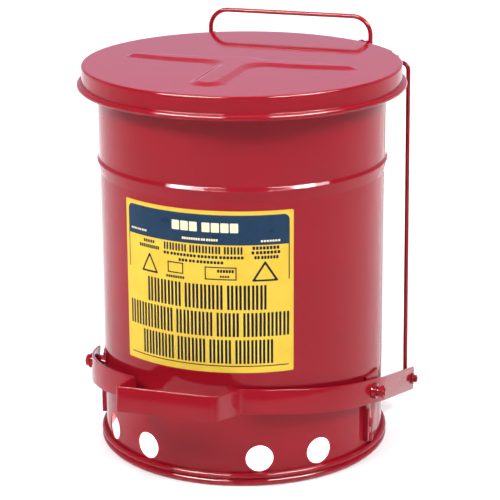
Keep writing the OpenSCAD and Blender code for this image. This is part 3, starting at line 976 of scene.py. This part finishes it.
make("rod_lower_washer_disc", *on_rod(washer(6, ROD_R, 1.2), LOWER_WASHER_X),
     "lift_rod", RED, "red_enamel", ["rod_lower_washer"])
make("rod_lower_hex_nut", *on_rod(hex_nut(8, 3.6, ROD_R), LOWER_NUT_X),
     "lift_rod", RED, "red_enamel", ["rod_lower_nut"])
make("rod_top_washer_pair",
     *joined(*(on_rod(washer(4.5, ROD_R, 1.0), x, RISE) for x in TOP_WASHERS_X)),
     "lift_rod", ZINC, "zinc_steel", ["rod_top_washers"])
make("rod_push_cap", *on_rod(washer(3.2, ROD_R, 2.4), ROD_TIP_X, RISE),
     "lift_rod", ZINC, "zinc_steel", ["rod_top_cap"])


# ---------------------------------------------------------------- stop loop

LOOP_R = 2.4
LOOP_X = 90.6
LOOP_TOP, LOOP_FOOT = 421.1, 352
LOOP_BEND = 20


def loop_path():
    """Up one side, across the back and down the other."""
    plan = rounded(
        [(-LOOP_X, LOOP_FOOT), (-LOOP_X, LOOP_TOP), (LOOP_X, LOOP_TOP), (LOOP_X, LOOP_FOOT)],
        [0, LOOP_BEND, LOOP_BEND, 0], False, 16,
    )
    return [(x, HINGE_Y, z) for x, z in stepped(plan, 8)]


make("stop_wire", *tube(loop_path(), LOOP_R), "can", RED, "red_enamel", ["stop_loop"])


# ---------------------------------------------------------------- pivots and fasteners

STUD_R = 4
STUD_INNER_X = 141.5
STUD_THREAD = 13
# outwards along the pivot's axis: where the parts on each side start, and the stud's end
PIVOTS = {
    "right": {"side": 1, "bush": 148.3, "washer": 153.5, "nut": 158.5, "end": 163.7},
    "left": {"side": -1, "bush": 153.5, "washer": 158.7, "nut": 159.7, "end": 164.9},
}
SPACER_X = 154.5


def on_pivot(part, side, x):
    """A part on the lever's pivot axis: side 1 is the right, -1 the left."""
    v, f = part
    place = along_x if side > 0 else along_minus_x
    return moved(v, place(side * x, LEVER_Y, LEVER_Z)), f


def pivot_hardware():
    """On each side a stud with its bush, washer and nut, and a spacer on the right."""
    washers, nuts = [], []
    for name, at in PIVOTS.items():
        side = at["side"]
        bush = washer(8, STUD_R + 0.05, 5)
        make(f"pivot_bushing_{name}", *on_pivot(bush, side, at["bush"]),
             "foot_lever", RED, "red_enamel", [f"pivot_bush_{name}"])
        stud = threaded_end(STUD_R, at["end"] - STUD_INNER_X, STUD_THREAD)
        make(f"pivot_bolt_{name}", *on_pivot(stud, side, STUD_INNER_X),
             "can", RED, "red_enamel", [f"pivot_stud_{name}"])
        washers.append(on_pivot(washer(8, STUD_R, 1), side, at["washer"]))
        nuts.append(on_pivot(hex_nut(12, 4, STUD_R), side, at["nut"]))
    make("pivot_washer_pair", *joined(*washers), "can", RED, "red_enamel", ["pivot_washers"])
    make("pivot_spacer_sleeve", *on_pivot(washer(5.2, STUD_R, 4), 1, SPACER_X),
         "can", RED, "red_enamel", ["pivot_spacer"])
    make("pivot_hex_nuts", *joined(*nuts), "can", RED, "red_enamel", ["pivot_nuts"])


pivot_hardware()


def rivet_set(places, r_out, r_in):
    """Domed heads outside and flatter ones inside, at angles from the front."""
    parts = []
    for a, z in places:
        v, f = dome_head(4.6, 2.0)
        parts.append((moved(v, at_front_angle(a, r_out - 0.05, z)), f))
        v, f = dome_head(4.1, 1.2)
        inward = at_front_angle(a, r_in - 0.1, z) @ Matrix.Rotation(math.pi, 4, "X")
        parts.append((moved(v, inward), f))
    return joined(*parts)


make("bracket_rivet_heads",
     *rivet_set([(s * 80, z) for s in (-1, 1) for z in (20, 36)], r_out=148.4, r_in=144.8),
     "can", RED, "red_enamel", ["bracket_rivets"])
make("hinge_rivet_heads",
     *rivet_set([(180 + a, 350) for a in (-26, -9, 9, 26)], r_out=149.1, r_in=145.5),
     "can", RED, "red_enamel", ["hinge_bracket_rivets"])
make("strap_rivet_heads",
     *rivet_set([(180 + a, 395.5) for a in (-49, -28, -8, 8, 28, 49)],
                r_out=164.9, r_in=161.3),
     "lid", RED, "red_enamel", ["lid_strap_rivets"])


def hinge_pin_mesh():
    """A plain pin with softened ends."""
    r, half = 3, 88.2
    verts, faces = lathe(
        rounded([(0, -half), (r, -half), (r, half), (0, half)], [0, 0.5, 0.5, 0], False, 3),
        40, closed=False,
    )
    return moved(verts, along_x(0, HINGE_Y, HINGE_Z)), faces


make("hinge_rod", *hinge_pin_mesh(), "can", ZINC, "zinc_steel", ["hinge_pin"])


# ---------------------------------------------------------------- carried-over CAD sheet parts

def dress(name, material, width=0.35):
    """A CAD sheet part keeps its shape, with its cut edges softened."""
    obj = frame["nodes"][name]
    obj.data.materials.clear()
    obj.data.materials.append(material)
    soft = obj.modifiers.new("soft_edges", "BEVEL")
    soft.width = width * MM
    soft.segments = 2
    soft.limit_method = "ANGLE"
    soft.angle_limit = math.radians(40)
    soft.harden_normals = True
    weld = obj.modifiers.new("weld", "WELD")
    weld.merge_threshold = 1e-6
    obj.modifiers.move(1, 0)


for name in ("pivot_bracket_right", "pivot_bracket_left", "hinge_bracket", "lid_hinge_strap"):
    dress(name, RED)


# ---------------------------------------------------------------- stage

FLOOR_HALF = 12.0
LIGHT_AIM = Vector((0, 0, 0.2))


def towards_back(tree, direction):
    """How far a direction or a place lies towards the back of the studio."""
    dot = tree.nodes.new("ShaderNodeVectorMath")
    dot.operation = "DOT_PRODUCT"
    dot.inputs[1].default_value = BEHIND
    tree.links.new(direction, dot.inputs[0])
    return dot.outputs["Value"]


def build_floor():
    """Matt paper. It glows a little, and less in front of the can than behind it."""
    a = FLOOR_HALF
    mesh = bpy.data.meshes.new("studio_floor")
    mesh.from_pydata([(-a, -a, 0), (a, -a, 0), (a, a, 0), (-a, a, 0)], [], [(0, 1, 2, 3)])
    floor = bpy.data.objects.new("studio_floor", mesh)
    bpy.context.scene.collection.objects.link(floor)
    mat, tree, shader = new_material("paper_white")
    cloud = noise(tree, 2.0, 2.0)
    base = ramp(tree, cloud.outputs["Fac"], grey(0.68), grey(0.7))
    tree.links.new(base.outputs["Color"], shader.inputs["Base Color"])
    shader.inputs["Roughness"].default_value = 0.9
    shader.inputs["Specular IOR Level"].default_value = 0.1
    shader.inputs["Emission Color"].default_value = grey(1.0)
    glow = span(tree, towards_back(tree, object_place(tree)), 0.15, 0.75, -0.5, 1.1)
    tree.links.new(glow.outputs["Result"], shader.inputs["Emission Strength"])
    mesh.materials.append(mat)


def build_world():
    """A studio that is dim in front and pale behind the can."""
    world = bpy.data.worlds.new("studio")
    world.use_nodes = True
    tree = world.node_tree
    where = tree.nodes.new("ShaderNodeTexCoord")
    shade = ramp(
        tree, towards_back(tree, where.outputs["Generated"]),
        (0.22, 0.22, 0.24, 1), (0.68, 0.65, 0.86, 1), 0.1, 0.9,
    )
    back = tree.nodes["Background"]
    tree.links.new(shade.outputs["Color"], back.inputs["Color"])
    back.inputs["Strength"].default_value = 1.0
    bpy.context.scene.world = world


def add_lamp(name, shape, power):
    """An area lamp, returned with its data."""
    data = bpy.data.lights.new(name, "AREA")
    data.shape = shape
    data.energy = power
    lamp = bpy.data.objects.new(name, data)
    bpy.context.scene.collection.objects.link(lamp)
    return lamp, data


def softbox(name, azimuth, elevation, distance, width, height, power, glints_only=False):
    """A lamp aimed at the can from an angle round it and an angle above the floor."""
    lamp, data = add_lamp(name, "RECTANGLE", power)
    data.size, data.size_y = width, height
    a, e = math.radians(azimuth), math.radians(elevation)
    back_to = Vector((math.sin(a) * math.cos(e), -math.cos(a) * math.cos(e), math.sin(e)))
    lamp.location = LIGHT_AIM + back_to * distance
    lamp.rotation_mode = "QUATERNION"
    lamp.rotation_quaternion = (-back_to).to_track_quat("-Z", "Y")
    lamp.visible_diffuse = not glints_only


def under_glow():
    """A faint light under the raised floor, seen through the vents."""
    lamp, data = add_lamp("under_glow", "DISK", 1.2)
    data.size = 0.22
    lamp.location = (0, 0, 0.042)


build_floor()
build_world()
softbox("softbox_left", -34, 42, 1.9, 0.8, 0.4, 30)
softbox("softbox_right", 80, 42, 1.9, 0.8, 0.4, 28)
softbox("strip_left", -20, 40, 2.0, 1.4, 0.34, 170, glints_only=True)
softbox("strip_right", 60, 40, 2.0, 1.2, 0.34, 150, glints_only=True)
softbox("overhead", 20, 88, 2.2, 1.6, 1.6, 5)
softbox("rear_fill", 198, 74, 4.6, 2.4, 1.9, 74)
under_glow()
bpy.context.scene.view_settings.view_transform = "Standard"
